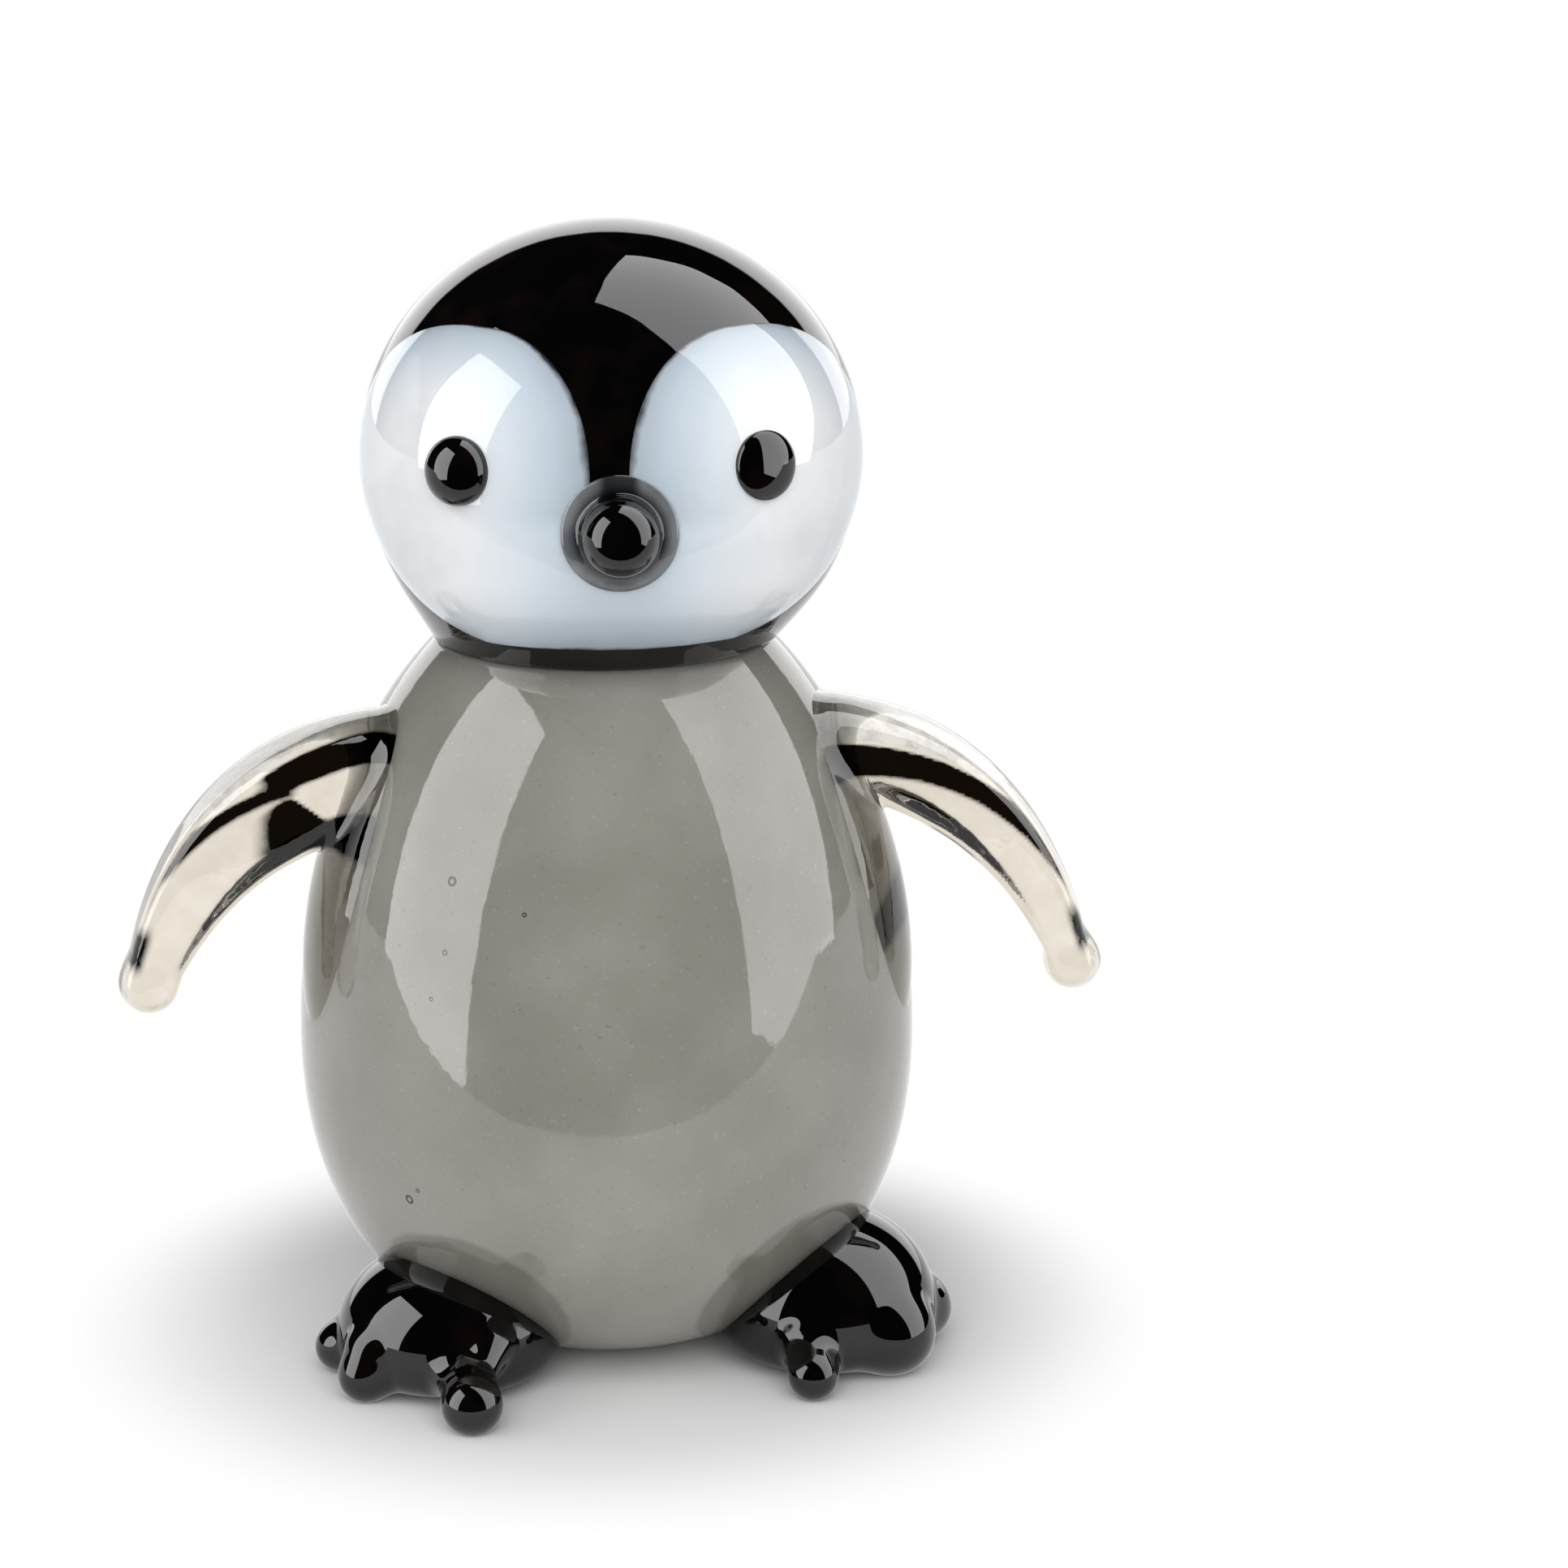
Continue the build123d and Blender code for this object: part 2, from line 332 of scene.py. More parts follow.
def spun(outline, middle, axis, around=96):
    """Points and faces of a (radius, height) outline turned round an axis; both its ends lie on the axis."""
    side = unit(np.cross(axis, UP if abs(axis[2]) < 0.9 else np.array([1.0, 0.0, 0.0])))
    other = np.cross(axis, side)
    angles = np.arange(around) * 2 * math.pi / around
    spokes = np.cos(angles)[:, None] * side + np.sin(angles)[:, None] * other
    rings = [middle + radius * spokes + height * axis for radius, height in outline[1:-1]]
    points = np.concatenate([[middle + outline[0][1] * axis], *rings, [middle + outline[-1][1] * axis]])
    faces = []
    last = len(points) - 1
    for a in range(around):
        b = (a + 1) % around
        faces.append((0, 1 + b, 1 + a))
        for ring in range(len(rings) - 1):
            low = 1 + ring * around
            faces.append((low + a, low + b, low + around + b, low + around + a))
        top = last - around
        faces.append((top + a, top + b, last))
    return points, faces


def bezier(places, count):
    """Points along a curve pulled by four places."""
    t = np.linspace(0, 1, count)[:, None]
    a, b, c, d = (np.array(p, float) for p in places)
    return (1 - t) ** 3 * a + 3 * t * (1 - t) ** 2 * b + 3 * t ** 2 * (1 - t) * c + t ** 3 * d


# Materials


class Wire:
    """A value in a material's node tree. Sums on it add Math nodes."""

    def __init__(self, tree, socket=None):
        self.tree = tree
        self.socket = socket

    def node(self, kind, settings, sockets, output=0):
        """A new node: its settings first, then the values or links of its sockets."""
        made = self.tree.nodes.new(kind)
        for name, value in settings.items():
            if name == "stops":
                ramp = made.color_ramp.elements
                while len(ramp) < len(value):
                    ramp.new(0.5)
                for stop, (place, colour) in zip(ramp, value):
                    stop.position = place
                    stop.color = (*colour, 1)
            else:
                setattr(made, name, value)
        for name, value in sockets.items():
            if isinstance(value, Wire):
                self.tree.links.new(value.socket, made.inputs[name])
            else:
                made.inputs[name].default_value = value
        return Wire(self.tree, made.outputs[output] if made.outputs else None)

    def maths(self, operation, first, second):
        """A Math node on two values."""
        return self.node("ShaderNodeMath", {"operation": operation}, {0: first, 1: second})

    def __add__(self, other):
        return self.maths("ADD", self, other)

    def __sub__(self, other):
        return self.maths("SUBTRACT", self, other)

    def __rsub__(self, other):
        return self.maths("SUBTRACT", other, self)

    def __mul__(self, other):
        return self.maths("MULTIPLY", self, other)

    __radd__ = __add__
    __rmul__ = __mul__

    def most(self, other):
        """The larger of two values."""
        return self.maths("MAXIMUM", self, other)

    def between(self, low, high):
        """0 below a low value and 1 above a high one, with a soft step."""
        return self.node("ShaderNodeMapRange", {"interpolation_type": "SMOOTHSTEP"},
                         {0: self, 1: low, 2: high})

    def mixed(self, bare, full):
        """A colour that goes from bare at 0 to full at 1."""
        colours = {6: bare, 7: full}
        colours = {key: c if isinstance(c, Wire) else (*c, 1) for key, c in colours.items()}
        return self.node("ShaderNodeMix", {"data_type": "RGBA"}, {0: self, **colours}, 2)


def glass(name):
    """A new material's node tree, empty but for its output."""
    material = bpy.data.materials.new(name)
    material.use_nodes = True
    tree = material.node_tree
    tree.nodes.clear()
    return material, Wire(tree)


def shown(wire, shader):
    """The shader goes to the material's output."""
    wire.node("ShaderNodeOutputMaterial", {}, {"Surface": shader})


def in_mm(wire):
    """Places on the figure in millimetres."""
    place = wire.node("ShaderNodeTexCoord", {}, {}, "Object")
    return wire.node("ShaderNodeVectorMath", {"operation": "SCALE"}, {0: place, "Scale": 1 / MM})


def noise(wire, place, scale, detail=2.0, roughness=0.5):
    """Soft random blotches; a larger scale makes them finer."""
    return wire.node("ShaderNodeTexNoise", {}, {
        "Vector": place, "Scale": scale, "Detail": detail, "Roughness": roughness})


def painted(wire, name):
    """A value that the piece's mesh carries."""
    return wire.node("ShaderNodeAttribute", {"attribute_name": name}, {}, "Fac")


def apart(wire, place, spot):
    """How far places lie from a spot."""
    return wire.node("ShaderNodeVectorMath", {"operation": "DISTANCE"}, {0: place, 1: spot}, "Value")


GLASS_IOR = 1.5


def finished(material, wire, colour, roughness, ripple, depth, more=None):
    """The glass shader on the material's output, with ripples of a depth in millimetres."""
    normal = wire.node("ShaderNodeBump", {}, {"Height": ripple, "Distance": depth * MM, "Strength": 1.0})
    sockets = {"Base Color": colour, "Roughness": roughness, "IOR": GLASS_IOR, "Normal": normal}
    shown(wire, wire.node("ShaderNodeBsdfPrincipled", {}, {**sockets, **(more or {})}))
    return material


def grey_glass():
    """Grey opal: milky clouds, fine pale and dark specks, a few bubbles, and painted shade where the feet show
    through.
    """
    material, wire = glass("grey_opal_glass")
    place = in_mm(wire)
    cloud = noise(wire, place, 0.35, 3.0)
    dark = noise(wire, place, 9.0, 2.0, 0.6).between(0.66, 0.74)
    pale = noise(wire, place, 13.0, 1.0, 0.5).between(0.66, 0.76)
    colour = cloud.between(0.3, 0.7).mixed((0.275, 0.265, 0.232), (0.33, 0.318, 0.284))
    colour = (dark * 0.35).mixed(colour, (0.14, 0.13, 0.11))
    colour = (pale * 0.22).mixed(colour, (0.52, 0.51, 0.48))
    # Painted shade: a darker brownish patch with a wavy edge round each foot
    for middle, size in painted_foot_shades:
        gap = apart(wire, place, middle) + (cloud - 0.5) * 0.6
        colour = ((1 - gap.between(size - 0.08, size + 0.08)) * 0.75).mixed(colour, (0.16, 0.152, 0.128))
    for spot, size in body_bubbles:
        gap = apart(wire, place, spot)
        ring = gap.between(0.4 * size, 0.8 * size) * (1 - gap.between(size, 1.3 * size))
        colour = ring.mixed(colour, (0.03, 0.027, 0.024))
    grain = noise(wire, place, 5.0, 2.0)
    return finished(material, wire, colour, 0.035, grain, 0.0015, {
        "Subsurface Weight": 1.0, "Subsurface Radius": (1.0, 0.96, 0.88), "Subsurface Scale": 2.5 * MM})


def black_glass():
    """Black glass with a breath of brown in soft random patches."""
    material, wire = glass("black_glass")
    place = in_mm(wire)
    warm = noise(wire, place, 0.9, 2.0).between(0.45, 0.7)
    colour = warm.mixed((0.0008, 0.0008, 0.001), (0.003, 0.0016, 0.0014))
    ripple = noise(wire, place, 1.3, 1.0)
    return finished(material, wire, colour, 0.02, ripple, 0.004)


def smoke_glass():
    """Black glass that thins to grey smoke where the beak's foot spreads over the white."""
    material, wire = glass("black_smoke_glass")
    place = in_mm(wire)
    rim = painted(wire, "rim")
    thin = rim * (0.6 + 0.4 * noise(wire, place, 1.4, 2.0).between(0.3, 0.7))
    colour = thin.mixed((0.001, 0.001, 0.0012), (0.20, 0.214, 0.226))
    ripple = noise(wire, place, 1.3, 1.0)
    return finished(material, wire, colour, 0.02, ripple, 0.004)


def white_glass():
    """White opal over black: blue-grey where the layer is thin, with faint marbling, and painted shade: the
    layer is drawn thinner, so darker and bluer, towards the middle of the face.
    """
    material, wire = glass("white_opal_glass")
    place = in_mm(wire)
    cover = painted(wire, "cover")
    marble = noise(wire, place, 0.8, 3.0, 0.6)
    # The value carries the white's thickness and the painted shade in the middle of the face
    thick = cover + (marble - 0.5) * 0.02
    colour = wire.node("ShaderNodeValToRGB", {"stops": (
        (0.0, (0.02, 0.022, 0.025)), (0.03, (0.42, 0.48, 0.54)), (0.15, (0.52, 0.605, 0.675)),
        (0.50, (0.71, 0.775, 0.83)), (1.0, (0.92, 0.935, 0.95)))},
        {"Fac": thick.node("ShaderNodeMapRange", {}, {0: thick, 1: 0.0, 2: 0.22})})
    smudge = noise(wire, place, 0.5, 3.0, 0.55).between(0.45, 0.8)
    colour = (smudge * 0.25).mixed(colour, (0.50, 0.555, 0.605))
    ripple = noise(wire, place, 0.9, 1.0)
    return finished(material, wire, colour, 0.03, ripple, 0.004)


def clear_glass():
    """Clear glass with a warm tint, a painted pale highlight on the upper slope, and painted dark streaks
    standing in for the dark surroundings that it bends in.
    """
    material, wire = glass("clear_glass")
    place = in_mm(wire)
    streak = noise(wire, place, 1.6, 2.0)
    colour = streak.between(0.3, 0.7).mixed((0.86, 0.785, 0.67), (0.95, 0.885, 0.78))
    shade = painted(wire, "shade")
    lines = noise(wire, place, 3.0, 3.0, 0.6)
    # Painted highlight: the upper slope pale grey-white with grey lines, where the shade value is below zero
    slope_highlight_colour = lines.between(0.35, 0.65).mixed((0.55, 0.55, 0.54), (0.95, 0.95, 0.94))
    colour = (shade * -1).between(0.3, 0.9).mixed(colour, slope_highlight_colour)
    # Painted shade: near black where the shade value is high, with ragged edges, standing in for dark
    # surroundings seen through the glass
    ragged = (shade + (lines - 0.5) * 0.4 * shade).between(0.10, 0.85)
    colour = ragged.mixed(colour, (0.00004, 0.00002, 0.00001))
    return finished(material, wire, colour, 0.0, streak, 0.01, {"Transmission Weight": 1.0})


GREY = grey_glass()
BLACK = black_glass()
SMOKE = smoke_glass()
WHITE = white_glass()
CLEAR = clear_glass()


# Pieces


def body_radius_at(height):
    """The body's radius at a height above the belly."""
    return body_radius * math.sqrt(1 - ((height - belly_height) / upper_half_height) ** 2)


def make_body():
    """The grey egg."""
    base_pull = (base_radius + base_round_share * (body_radius - base_radius), 0)
    side_pull = (body_radius, belly_height * (1 - side_round_share))
    lower = bezier([(base_radius, 0), base_pull, side_pull, (body_radius, belly_height)], body_rings)
    top_angle = math.acos(neck_radius / body_radius)
    upper = [(body_radius * math.cos(a), belly_height + upper_half_height * math.sin(a))
             for a in np.linspace(0, top_angle, body_rings)[1:]]
    top = [(neck_radius / 2, shoulder_height), (0, shoulder_height)]
    outline = [(0, 0), (base_radius / 2, 0), *lower, *upper, *top]
    points, faces = spun(outline, np.zeros(3), UP, body_sides)
    piece("body", GREY, points, faces, ["body"])


def head_field(points):
    """The ball, and the neck cut level at the shoulders."""
    turn = math.radians(neck_start_angle)
    start_height = head_middle[2] - head_half_height * math.sin(turn)
    start_radius = neck_start_share * head_radius * math.cos(turn)
    length = start_height - shoulder_height
    spread = start_radius - neck_radius
    share = (points[..., 2] - shoulder_height) / length
    past = np.maximum(share - 1 + neck_ease, 0)
    share = np.where(share > 1 + neck_ease, 1, share - past ** 2 / (4 * neck_ease))
    away = np.hypot(points[..., 0] - share * head_offset, points[..., 1])
    neck = (away - neck_radius - share * spread) * length / math.hypot(spread, length)
    neck = np.maximum(neck, points[..., 2] - head_middle[2])
    return trimmed(melted(head_ball(points), neck, neck_melt), shoulder_height - points[..., 2], collar_round)


def head_ball(points):
    """The head without its neck."""
    return egg(points, head_middle, np.array([head_radius, head_radius, head_half_height]))


def face_across(points):
    """How far to the side of the face each point lies, in degrees, and its place about the head's middle."""
    local = turned_into(points, head_middle, [heading(face_turn + 90), heading(face_turn), UP])
    return np.degrees(np.arctan2(np.abs(local[..., 0]), local[..., 1])), local


def white_cover(points):
    """How thick the white lies over the black in a point's direction; below zero where there is none."""
    across, local = face_across(points)
    rounded = local[..., 2] * head_radius / head_half_height
    level = np.degrees(np.arctan2(rounded, np.hypot(local[..., 0], local[..., 1])))
    outer = np.maximum(across - lobe_spread, 0) / lobe_outer
    stripe = eased(level, stripe_end_level, stripe_full_level)
    inner = np.maximum(lobe_spread - across, 0) / lobe_inner * stripe
    fall = chin_fall * (1 - chin_corner_share * np.minimum(outer, 1))
    height = (level - lobe_level) / np.where(level > lobe_level, lobe_rise, -fall)
    power = lobe_squareness
    edge = (np.maximum(outer, inner) ** power + height ** power) ** (1 / power)
    return (face_lift + chin_lift * eased(-level, *chin_lift_levels)) * (1 - edge ** 2)


def white_field(points):
    """The outside of the white glass."""
    return head_field(points) - white_cover(points)


def cheek_field(points):
    """The white layer, from a little under the head's surface to its own. Its edge dips under the black."""
    return np.maximum(white_field(points), -head_field(points) - face_depth)


def make_head():
    """The black head, and the white face cut in two at its middle."""
    room = np.array([0.3, 0.3, 0.3])
    poured("head", BLACK, head_field, head_low - room, head_high + room, head_step, ["head"])
    points, faces = skin(cheek_field, head_low - 2 * room, head_high + room, face_step)
    for name, side in (("cheek_left", 1), ("cheek_right", -1)):
        whole = bmesh.new()
        made = [whole.verts.new(p) for p in points]
        for face in faces:
            whole.faces.new([made[i] for i in face])
        bmesh.ops.bisect_plane(
            whole, geom=whole.verts[:] + whole.edges[:] + whole.faces[:], plane_co=head_middle,
            plane_no=heading(face_turn + side * 90), clear_inner=True)
        bmesh.ops.holes_fill(whole, edges=whole.edges)
        whole.verts.index_update()
        half_points = np.array([v.co for v in whole.verts])
        half_faces = [[v.index for v in face.verts] for face in whole.faces]
        whole.free()
        # Painted shade: the white's thickness is scaled down towards the face's middle, so the colour there
        # turns darker and bluer
        full = eased(face_across(half_points)[0], *middle_shade_width)
        cover = white_cover(half_points) * (middle_shade_share + (1 - middle_shade_share) * full)
        piece(name, WHITE, half_points, half_faces, [name],
              normals_of(white_field, half_points), {"cover": cover})


def on_face(direction, starts=head_middle, near=head_radius / 2, far=2 * head_radius):
    """Where lines in a direction leave the white face, between two distances from their starts."""
    near = np.full(starts.shape[:-1], near)
    far = np.full(starts.shape[:-1], far)
    for _ in range(40):
        middle = (near + far) / 2
        place = starts + direction * middle[..., None]
        inside = np.minimum(head_field(place), white_field(place)) < 0
        near = np.where(inside, middle, near)
        far = np.where(inside, far, middle)
    return starts + direction * near[..., None]


def make_eye(name, side, spread, rise, bulge):
    """A bead of black glass, set into the white."""
    direction = heading(eye_turn + side * spread, rise)
    angles = np.linspace(0, math.pi / 2, 24)
    dome = [(eye_radius * math.cos(a), bulge * math.sin(a)) for a in angles]
    outline = [(0, -eye_root), (eye_radius * eye_root_share, -eye_root), *dome[:-1], (0, bulge)]
    points, faces = spun(outline, on_face(direction), direction)
    piece(name, BLACK, points, faces, [name])


def make_beak():
    """A flared foot that follows the face, a waist and a round tip. The black stripe runs onto the foot."""
    seat = on_face(heading(beak_turn, -beak_drop_angle))
    rim = (beak_foot_radius, beak_foot_height)
    waist = (beak_radius, beak_waist_height)
    corner = (beak_radius, beak_foot_height)
    flare = bezier([rim, corner, corner, waist], 16)
    wall = (beak_radius, beak_wall_height)
    tip = bezier([waist, wall, (beak_tip_radius, beak_length), (0, beak_length)], 24)
    outline = [(0, -beak_root), (beak_foot_radius, -beak_root), *flare, *tip[1:]]
    axis = heading(beak_turn, beak_lift_angle)
    points, faces = spun([tuple(p) for p in outline], seat, axis)
    local = points - seat
    away = np.linalg.norm(np.cross(local, axis), axis=-1)
    aside = np.abs(local @ heading(beak_turn + 90))
    stripe = eased(local[:, 2], *stripe_heights) * (1 - eased(aside, *stripe_widths))
    smoke = eased(away, *smoke_radii) * (1 - stripe_strength * stripe)
    level = points - (local @ axis)[:, None] * axis
    landed = on_face(axis, level, -beak_length, beak_length) - level
    points = points + eased(away, beak_radius, beak_foot_radius)[:, None] * landed
    piece("beak", SMOKE, points, faces, ["beak"], None, {"rim": smoke})


def tapered(taper, share):
    """A size at a share along a rod."""
    return taper[0] + taper[1] * share + taper[2] * share ** 2


def make_flipper(name, side, height, reach, drop, thickness,
                 painted_streak_top, painted_streak_rise, painted_streak_foot, painted_streak_fall, root_shade, edge_shade):
    """A pulled rod that arches out and droops to a bulb, with the leaf where it was melted on."""
    across = heading(flipper_turn + side * flipper_spread)
    fore = heading(flipper_turn + side * (flipper_spread - 90))
    root_out = body_radius_at(height) - flipper_root_depth
    bends = [np.array([root_out + out * (reach - root_out), height + rise * drop])
             for out, rise in flipper_bend_shares]
    line = bezier(bends, 49)
    a, b, c, d = bends
    leaf_across = heading(flipper_turn + side * weld_spread)
    ratio = (weld_height - belly_height) / upper_half_height
    lean = body_radius * ratio / (upper_half_height * math.sqrt(1 - ratio ** 2))
    along = unit(UP - leaf_across * lean)
    outward = unit(leaf_across + UP * lean)
    leaf_seat = leaf_across * body_radius_at(weld_height) + UP * weld_height
    leaf_middle = leaf_seat + outward * (weld_lift - weld_radius)
    leaf_axes = [along, outward, np.cross(along, outward)]
    tip = across * d[0] + UP * d[1]

    def section(points):
        """The share along the rod, the rise and the way forward in half sizes, and the lesser half size."""
        plane = np.stack([points @ across, points[..., 2]], axis=-1)
        best = np.full(plane.shape[:-1], np.inf)
        share = np.zeros(plane.shape[:-1])
        for number, place in enumerate(line):
            gap = ((plane - place) ** 2).sum(-1)
            nearer = gap < best
            best[nearer] = gap[nearer]
            share[nearer] = number / (len(line) - 1)
        for _ in range(5):
            t = share[..., None]
            at = (1 - t) ** 3 * a + 3 * t * (1 - t) ** 2 * b + 3 * t ** 2 * (1 - t) * c + t ** 3 * d
            run = 3 * ((1 - t) ** 2 * (b - a) + 2 * t * (1 - t) * (c - b) + t ** 2 * (d - c))
            turn = 6 * ((1 - t) * (c - 2 * b + a) + t * (d - 2 * c + b))
            miss = ((at - plane) * run).sum(-1)
            share = np.clip(share - miss / np.maximum((run ** 2 + (at - plane) * turn).sum(-1), 0.5), 0, 1)
        off = plane - at
        rise = np.sign(run[..., 0] * off[..., 1] - run[..., 1] * off[..., 0]) * np.sqrt((off ** 2).sum(-1))
        thick = thickness / 2 * tapered(flipper_thick_taper, share)
        broad = flipper_breadth / 2 * tapered(flipper_broad_taper, share)
        return share, rise / thick, points @ fore / broad, np.minimum(thick, broad)

    def field(points):
        """The rod, its bulb and its leaf, down to a little under the body's skin."""
        share, rise, wide, size = section(points)
        flat = eased(share, *flipper_flat_shares)
        front = flipper_root_squareness + (flipper_front_squareness - flipper_root_squareness) * flat
        back = flipper_root_squareness + (flipper_back_squareness - flipper_root_squareness) * flat
        power = np.where(wide > 0, front, back)
        rod = ((np.abs(rise) ** power + np.abs(wide) ** power + 1e-9) ** (1 / power) - 1) * size
        bulb = np.sqrt(((points - tip) ** 2).sum(-1)) - flipper_tip_radius
        leaf = egg(turned_into(points, leaf_middle, leaf_axes), np.zeros(3),
                   np.array([weld_half_length, weld_radius, weld_radius]))
        whole = melted(melted(rod, bulb, tip_melt), leaf, weld_melt)
        trunk = egg(points, belly_height * UP, np.array([body_radius, body_radius, upper_half_height]))
        return np.maximum(whole, -trunk - flipper_set)

    def painted_light(points):
        """1 in the painted dark streaks, -1 on the pale slope above them where a highlight is painted, 0 on
        the warm front.
        """
        share, rise, wide, _ = section(points)
        # The long painted dark streak under the upper edge, standing in for dark surroundings that the glass
        # bends in; it narrows towards the tip
        top = np.minimum(painted_streak_top + painted_streak_rise * share, 0.93)
        foot = np.minimum(painted_streak_foot + painted_streak_fall * share, top)
        streak = banded(rise, foot - 0.16, foot + 0.06, top - 0.07, top + 0.07)
        streak = streak * (1 - eased(share, 0.80, 0.95)) * (1 - root_shade * (1 - eased(share, 0.34, 0.40)))
        # Painted shade: the dark root with a pale notch in it, and the dark cap above the notch
        notch = 0.30 - 0.65 * (1 - eased(share, 0.32, 0.40))
        root = banded(rise, 2 * share - 1.80, 2 * share - 1.50, notch - 0.10, notch + 0.10)
        root = root * (1 - eased(share + 0.12 * rise, 0.44, 0.58))
        cap = banded(rise, 0.30, 0.45, 0.80, 0.95) * (1 - eased(share, 0.40, 0.52))
        # Painted shade: the short dark streak on the lower edge, and a dark patch on top of the bulb
        edge = banded(share, 0.45, 0.52, 0.62, 0.72) * eased(-rise, 0.75, 0.95)
        bulb_shade = banded(share, 0.84, 0.91, 0.95, 1.0) * eased(rise, 0.30, 0.75)
        shades = (streak, root_shade * root, root_shade * cap, edge_shade * edge, 0.9 * bulb_shade)
        dark = np.maximum.reduce(shades) * eased(wide, -0.1, 0.3)
        # Below zero on the upper slope, where the material paints a pale highlight
        return dark - eased(rise, top, top + 0.10) * (1 - dark)

    low, high = solid_box(name)
    room = np.array([1.2, 1.2, 0.8])
    made = poured(name, CLEAR, field, low - room, high + room, flipper_step, [name], painted_light)
    made.visible_shadow = False


def make_foot(name, side, toe_lead, top, toes):
    """A pad with its toes melted on. Each toe is a ball with a root that runs up the front of the pad.

    Toes are given from the inner one out, by their fan, reach and radius shares, the radius of the neck, and
    the turn, the way out, the height and the radius of the root.
    """
    ahead = stance_turn + side * foot_spread
    pad_middle = heading(ahead) * (toe_reach - toe_lead)
    rods = []
    for fan, reach, size, waist, root_turn, root_out, root_height, root_radius in toes:
        radius = toe_radius * size
        ball = heading(ahead + side * fan * toe_fan) * toe_reach * reach + radius * UP
        root = pad_middle + heading(ahead + side * root_turn) * root_out + root_height * UP
        rods.append((ball, radius, waist, root, root_radius))

    def field(points):
        """The pad, round above and squarer below, and its toes, cut level at the floor."""
        out = np.hypot(points[..., 0] - pad_middle[0], points[..., 1] - pad_middle[1]) / foot_radius
        rise = points[..., 2] - foot_middle_height
        upper = rise > 0
        power = np.where(upper, 2.0, foot_sole_squareness)
        level = np.abs(rise) / np.where(upper, top - foot_middle_height, foot_middle_height)
        foot = ((out ** power + level ** power + 1e-9) ** (1 / power) - 1) * foot_middle_height
        for ball, radius, waist, root, root_radius in rods:
            drop = np.sqrt(((points - ball) ** 2).sum(-1)) - radius
            neck = drawn(points, ball, root, waist, root_radius)
            foot = melted(foot, melted(drop, neck, toe_melt), toe_melt)
        return np.maximum(foot, -points[..., 2])

    nodes = [name] + [name.replace("foot", "toe") + "_" + toe for toe in ("inner", "middle", "outer")]
    boxes = [solid_box(node) for node in nodes]
    room = np.array([1.0, 1.0, 0.5])
    low = np.min([box[0] for box in boxes], axis=0) - room
    high = np.max([box[1] for box in boxes], axis=0) + room
    poured(name, BLACK, field, low, high, foot_step, nodes)


make_body()
make_head()
make_eye("eye_left", side=1, spread=34.9, rise=5.4, bulge=0.25)
make_eye("eye_right", side=-1, spread=33.0, rise=4.7, bulge=0.52)
make_beak()
# The streak and shade arguments place each flipper's painted dark streaks and painted shade
make_flipper("flipper_left", side=1, height=12.12, reach=9.35, drop=4.47, thickness=1.85,
             painted_streak_top=0.10, painted_streak_rise=1.35, painted_streak_foot=-0.75, painted_streak_fall=2.0,
             root_shade=0.0, edge_shade=1.0)
make_flipper("flipper_right", side=-1, height=11.75, reach=9.15, drop=4.13, thickness=2.30,
             painted_streak_top=-0.02, painted_streak_rise=1.50, painted_streak_foot=-0.27, painted_streak_fall=1.52,
             root_shade=1.0, edge_shade=0.0)
make_foot("foot_left", side=1, toe_lead=1.82, top=2.98, toes=(
    (-0.94, 0.931, 0.75, 0.38, -76, 1.95, 0.88, 0.42),
    (-0.17, 0.982, 1.27, 0.70, -20, 1.20, 0.90, 0.80),
    (0.49, 0.965, 1.08, 0.45, 44, 1.40, 0.80, 0.45)))
make_foot("foot_right", side=-1, toe_lead=2.21, top=2.66, toes=(
    (-0.88, 1.005, 0.83, 0.24, -71, 1.98, 1.24, 0.27),
    (-0.88, 1.005, 0.83, 0.44, -48, 2.00, 0.80, 0.36),
    (0.07, 0.985, 0.77, 0.42, 5, 2.00, 0.95, 0.42),
    (0.66, 0.915, 0.78, 0.34, 50, 1.40, 0.80, 0.34)))


# Studio: a pale floor, soft boxes, a white wall behind and a dark room in front. Sizes here are in metres

FLOOR_GREY = (0.78, 0.78, 0.78, 1)
WHITE_BACKDROP = (1.0, 1.0, 1.0)
SIDE_GREY = (0.78, 0.78, 0.785)
MIRRORED_FLOOR = (1.1, 1.1, 1.1)
MIRRORED_WALL = (2.2, 2.2, 2.2)
MIRRORED_DARK = (0.004, 0.004, 0.004)
WHITE_THROUGH_GLASS = (0.92, 0.92, 0.92)
GREY_THROUGH_GLASS = (0.25, 0.25, 0.25)
SOFT_LIGHT = (0.46, 0.46, 0.47)

floor_half = 0.9
floor_front = -0.021
front_fade = 0.008
shadow_fade = (0.0065, 0.0115)
mirrored_shadow_fade = (0.004, 0.010)
side_slant = 0.2
side_fade = (0.024, 0.080)
lamp_distance = 0.25
lamp_aim = np.array([0, 0, 0.011])
view_direction = (0, 0.966, -0.257)
camera_place = (0.00357, -0.08755, 0.03447)
camera_tilt = 75.1
camera_lens = 104.35
camera_sensor = 36


def ray_kinds(wire, *kinds):
    """1 where a ray is of one of some kinds."""
    flags = [wire.node("ShaderNodeLightPath", {}, {}, f"Is {kind} Ray") for kind in kinds]
    whole = flags[0]
    for flag in flags[1:]:
        whole = whole.most(flag)
    return whole


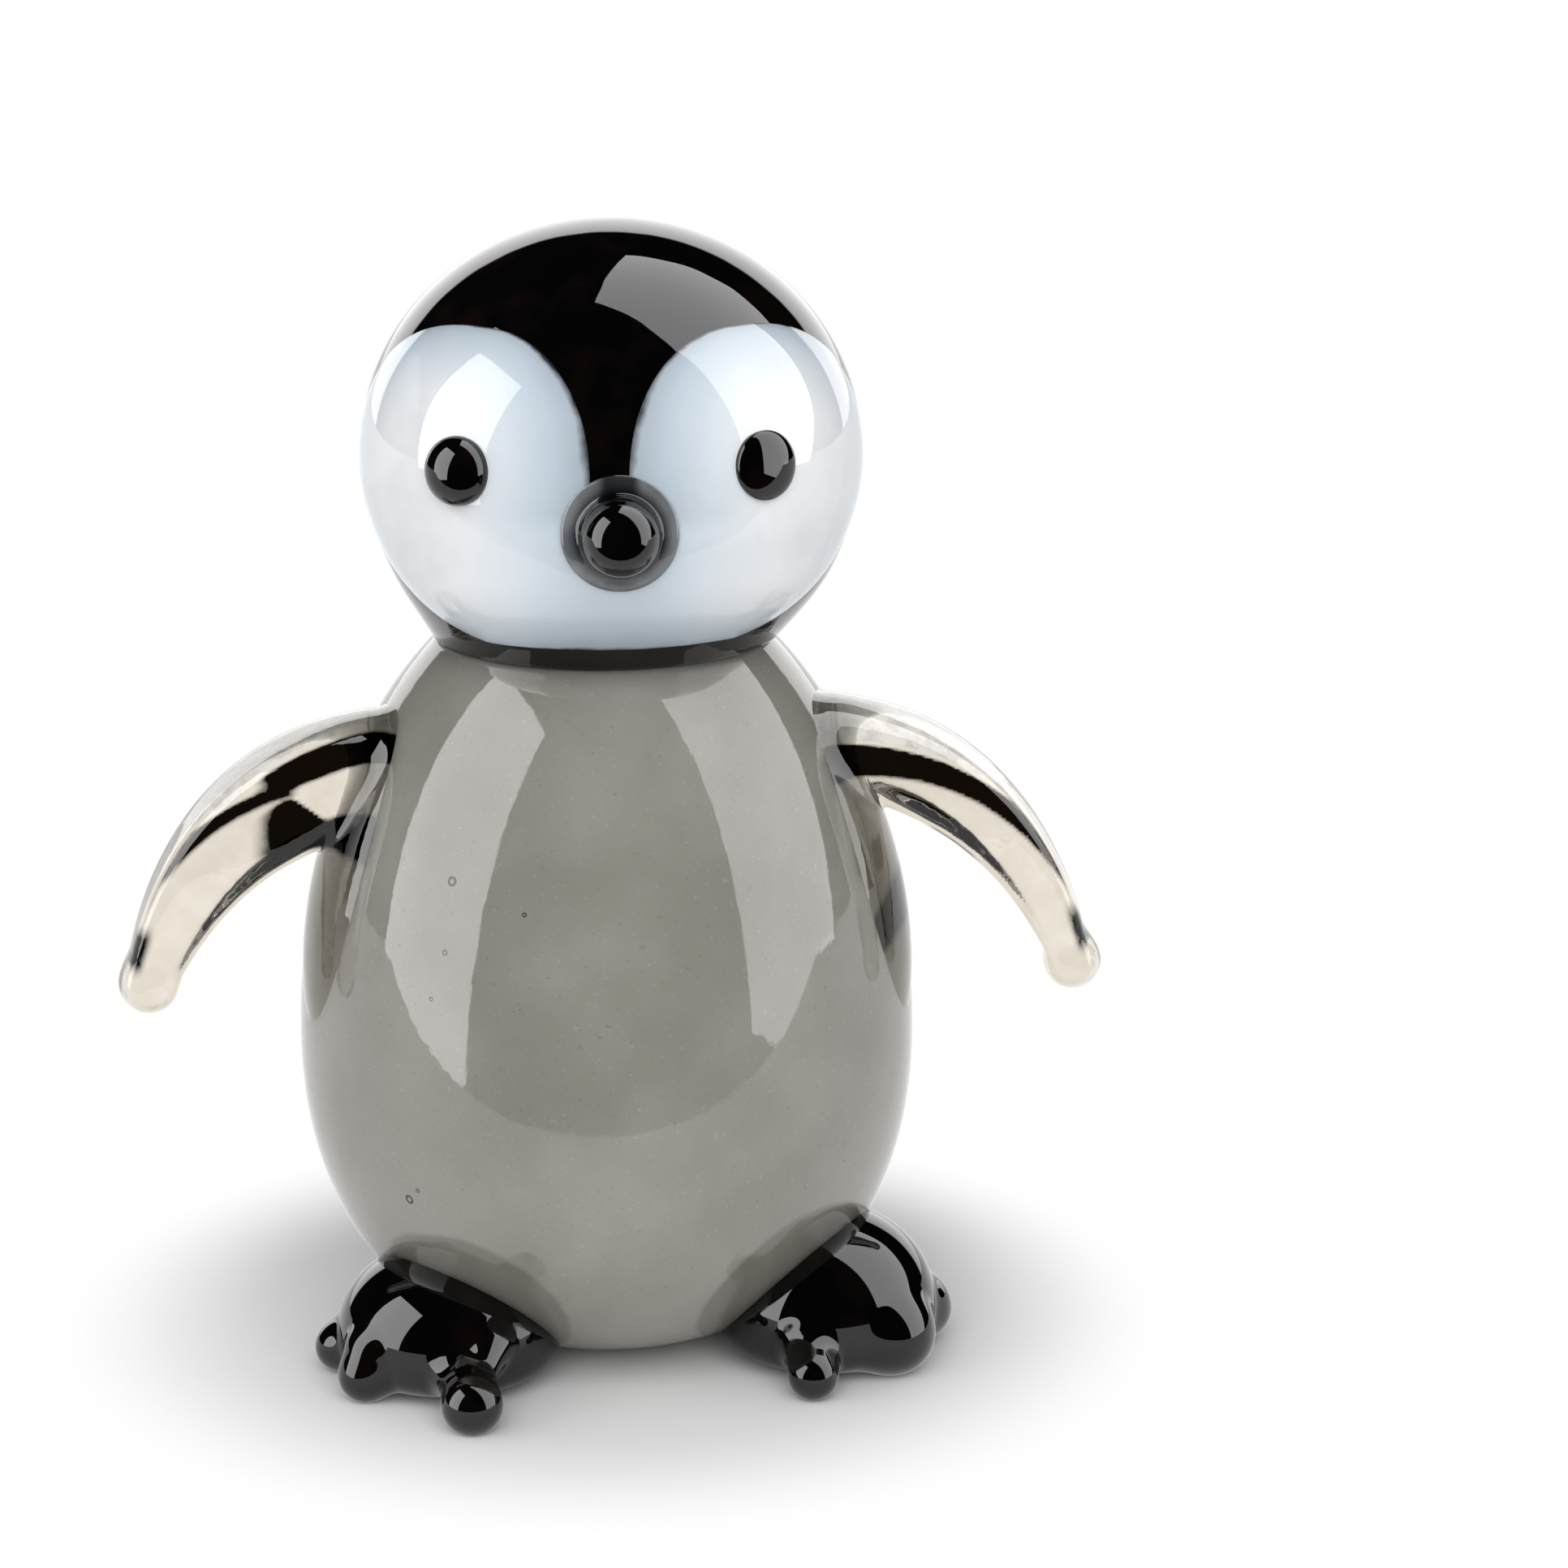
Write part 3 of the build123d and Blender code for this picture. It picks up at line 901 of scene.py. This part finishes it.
def make_floor():
    """A plain floor that ends in front of the figure: white behind its shadow, pale grey to the sides."""
    near = [(-floor_half, floor_front, 0), (floor_half, floor_front, 0)]
    far = [(floor_half, floor_half, 0), (-floor_half, floor_half, 0)]
    mesh = bpy.data.meshes.new("floor")
    mesh.from_pydata(near + far, [], [(0, 1, 2, 3)])
    floor = linked("floor", mesh)
    material, wire = glass("white_floor")
    place = wire.node("ShaderNodeNewGeometry", {}, {}, "Position")
    away = wire.node("ShaderNodeVectorMath", {"operation": "LENGTH"}, {0: place}, "Value")
    through = ray_kinds(wire, "Transmission")
    mirrored = ray_kinds(wire, "Glossy") * (1 - through)
    open_floor = away.between(*shadow_fade) * ray_kinds(wire, "Camera", "Transmission")
    open_floor = open_floor.most(away.between(*mirrored_shadow_fade) * mirrored)
    aside = wire.node("ShaderNodeSeparateXYZ", {}, {0: place}, "X")
    aside = aside.maths("ABSOLUTE", aside, 0.0)
    deep = wire.node("ShaderNodeSeparateXYZ", {}, {0: place}, "Y")
    behind = 1 - (aside - deep * side_slant).between(*side_fade)
    behind = behind * deep.between(floor_front, floor_front + front_fade)
    pale = through.mixed(behind.mixed(SIDE_GREY, WHITE_BACKDROP), WHITE_THROUGH_GLASS)
    pale = mirrored.mixed(pale, MIRRORED_FLOOR)
    matt = wire.node("ShaderNodeBsdfDiffuse", {}, {"Color": FLOOR_GREY})
    white = wire.node("ShaderNodeEmission", {}, {"Color": pale, "Strength": 1.0})
    shown(wire, wire.node("ShaderNodeMixShader", {}, {0: open_floor, 1: matt, 2: white}))
    mesh.materials.append(material)


def make_soft_box(name, azimuth, rise, roll, width, height, shine, fill):
    """A soft box that faces the figure, rolled about its middle: its shine in the glass and its soft light."""
    place = lamp_aim + heading(azimuth, rise) * lamp_distance
    turn = Vector(place - lamp_aim).to_track_quat("Z", "Y") @ Quaternion((0, 0, 1), math.radians(roll))
    for kind, brightness in (("shine", shine), ("fill", fill)):
        if not brightness:
            continue
        lamp = bpy.data.lights.new(name + "_" + kind, "AREA")
        lamp.shape = "RECTANGLE"
        lamp.size = width
        lamp.size_y = height
        lamp.energy = brightness * math.pi * width * height
        box = linked(lamp.name, lamp)
        box.location = place
        box.rotation_euler = turn.to_euler()
        box.visible_camera = False
        box.visible_diffuse = kind == "fill"
        box.visible_glossy = kind == "shine"
        box.visible_transmission = False


def make_room():
    """White behind the figure and pale grey elsewhere, which reflections and clear glass show darker."""
    world = bpy.data.worlds.new("studio")
    bpy.context.scene.world = world
    world.use_nodes = True
    tree = world.node_tree
    tree.nodes.clear()
    wire = Wire(tree)
    direction = wire.node("ShaderNodeTexCoord", {}, {}, "Generated")
    towards = wire.node("ShaderNodeVectorMath", {"operation": "DOT_PRODUCT"},
                        {0: direction, 1: view_direction}, "Value")
    mirrored = towards.between(0.65, 0.68).mixed(MIRRORED_DARK, MIRRORED_WALL)
    through = towards.between(0.0, 0.1).mixed(GREY_THROUGH_GLASS, WHITE_THROUGH_GLASS)
    backdrop = towards.between(0.80, 0.95).mixed(SIDE_GREY, WHITE_BACKDROP)
    colour = ray_kinds(wire, "Glossy").mixed(SOFT_LIGHT, mirrored)
    colour = ray_kinds(wire, "Transmission").mixed(colour, through)
    colour = ray_kinds(wire, "Camera").mixed(colour, backdrop)
    light = wire.node("ShaderNodeBackground", {}, {"Color": colour, "Strength": 1.0})
    wire.node("ShaderNodeOutputWorld", {}, {"Surface": light})


def make_camera():
    """The camera at the photograph's place."""
    camera = bpy.data.cameras.new("camera")
    camera.sensor_width = camera_sensor
    camera.lens = camera_lens
    camera.clip_start = 0.005
    placed = linked("camera", camera)
    placed.location = camera_place
    placed.rotation_euler = (math.radians(camera_tilt), 0, 0)
    bpy.context.scene.camera = placed


make_floor()
make_soft_box("soft_box_left", azimuth=-69, rise=20, roll=0, width=0.20, height=0.36, shine=5.2, fill=3.0)
make_soft_box("soft_box_right", azimuth=90, rise=39, roll=-22, width=0.25, height=0.70, shine=4.0, fill=0.4)
make_soft_box("soft_box_front", azimuth=5, rise=35, roll=0, width=0.30, height=0.30, shine=0, fill=1.9)
make_room()
make_camera()
bpy.context.scene.view_settings.view_transform = "Standard"
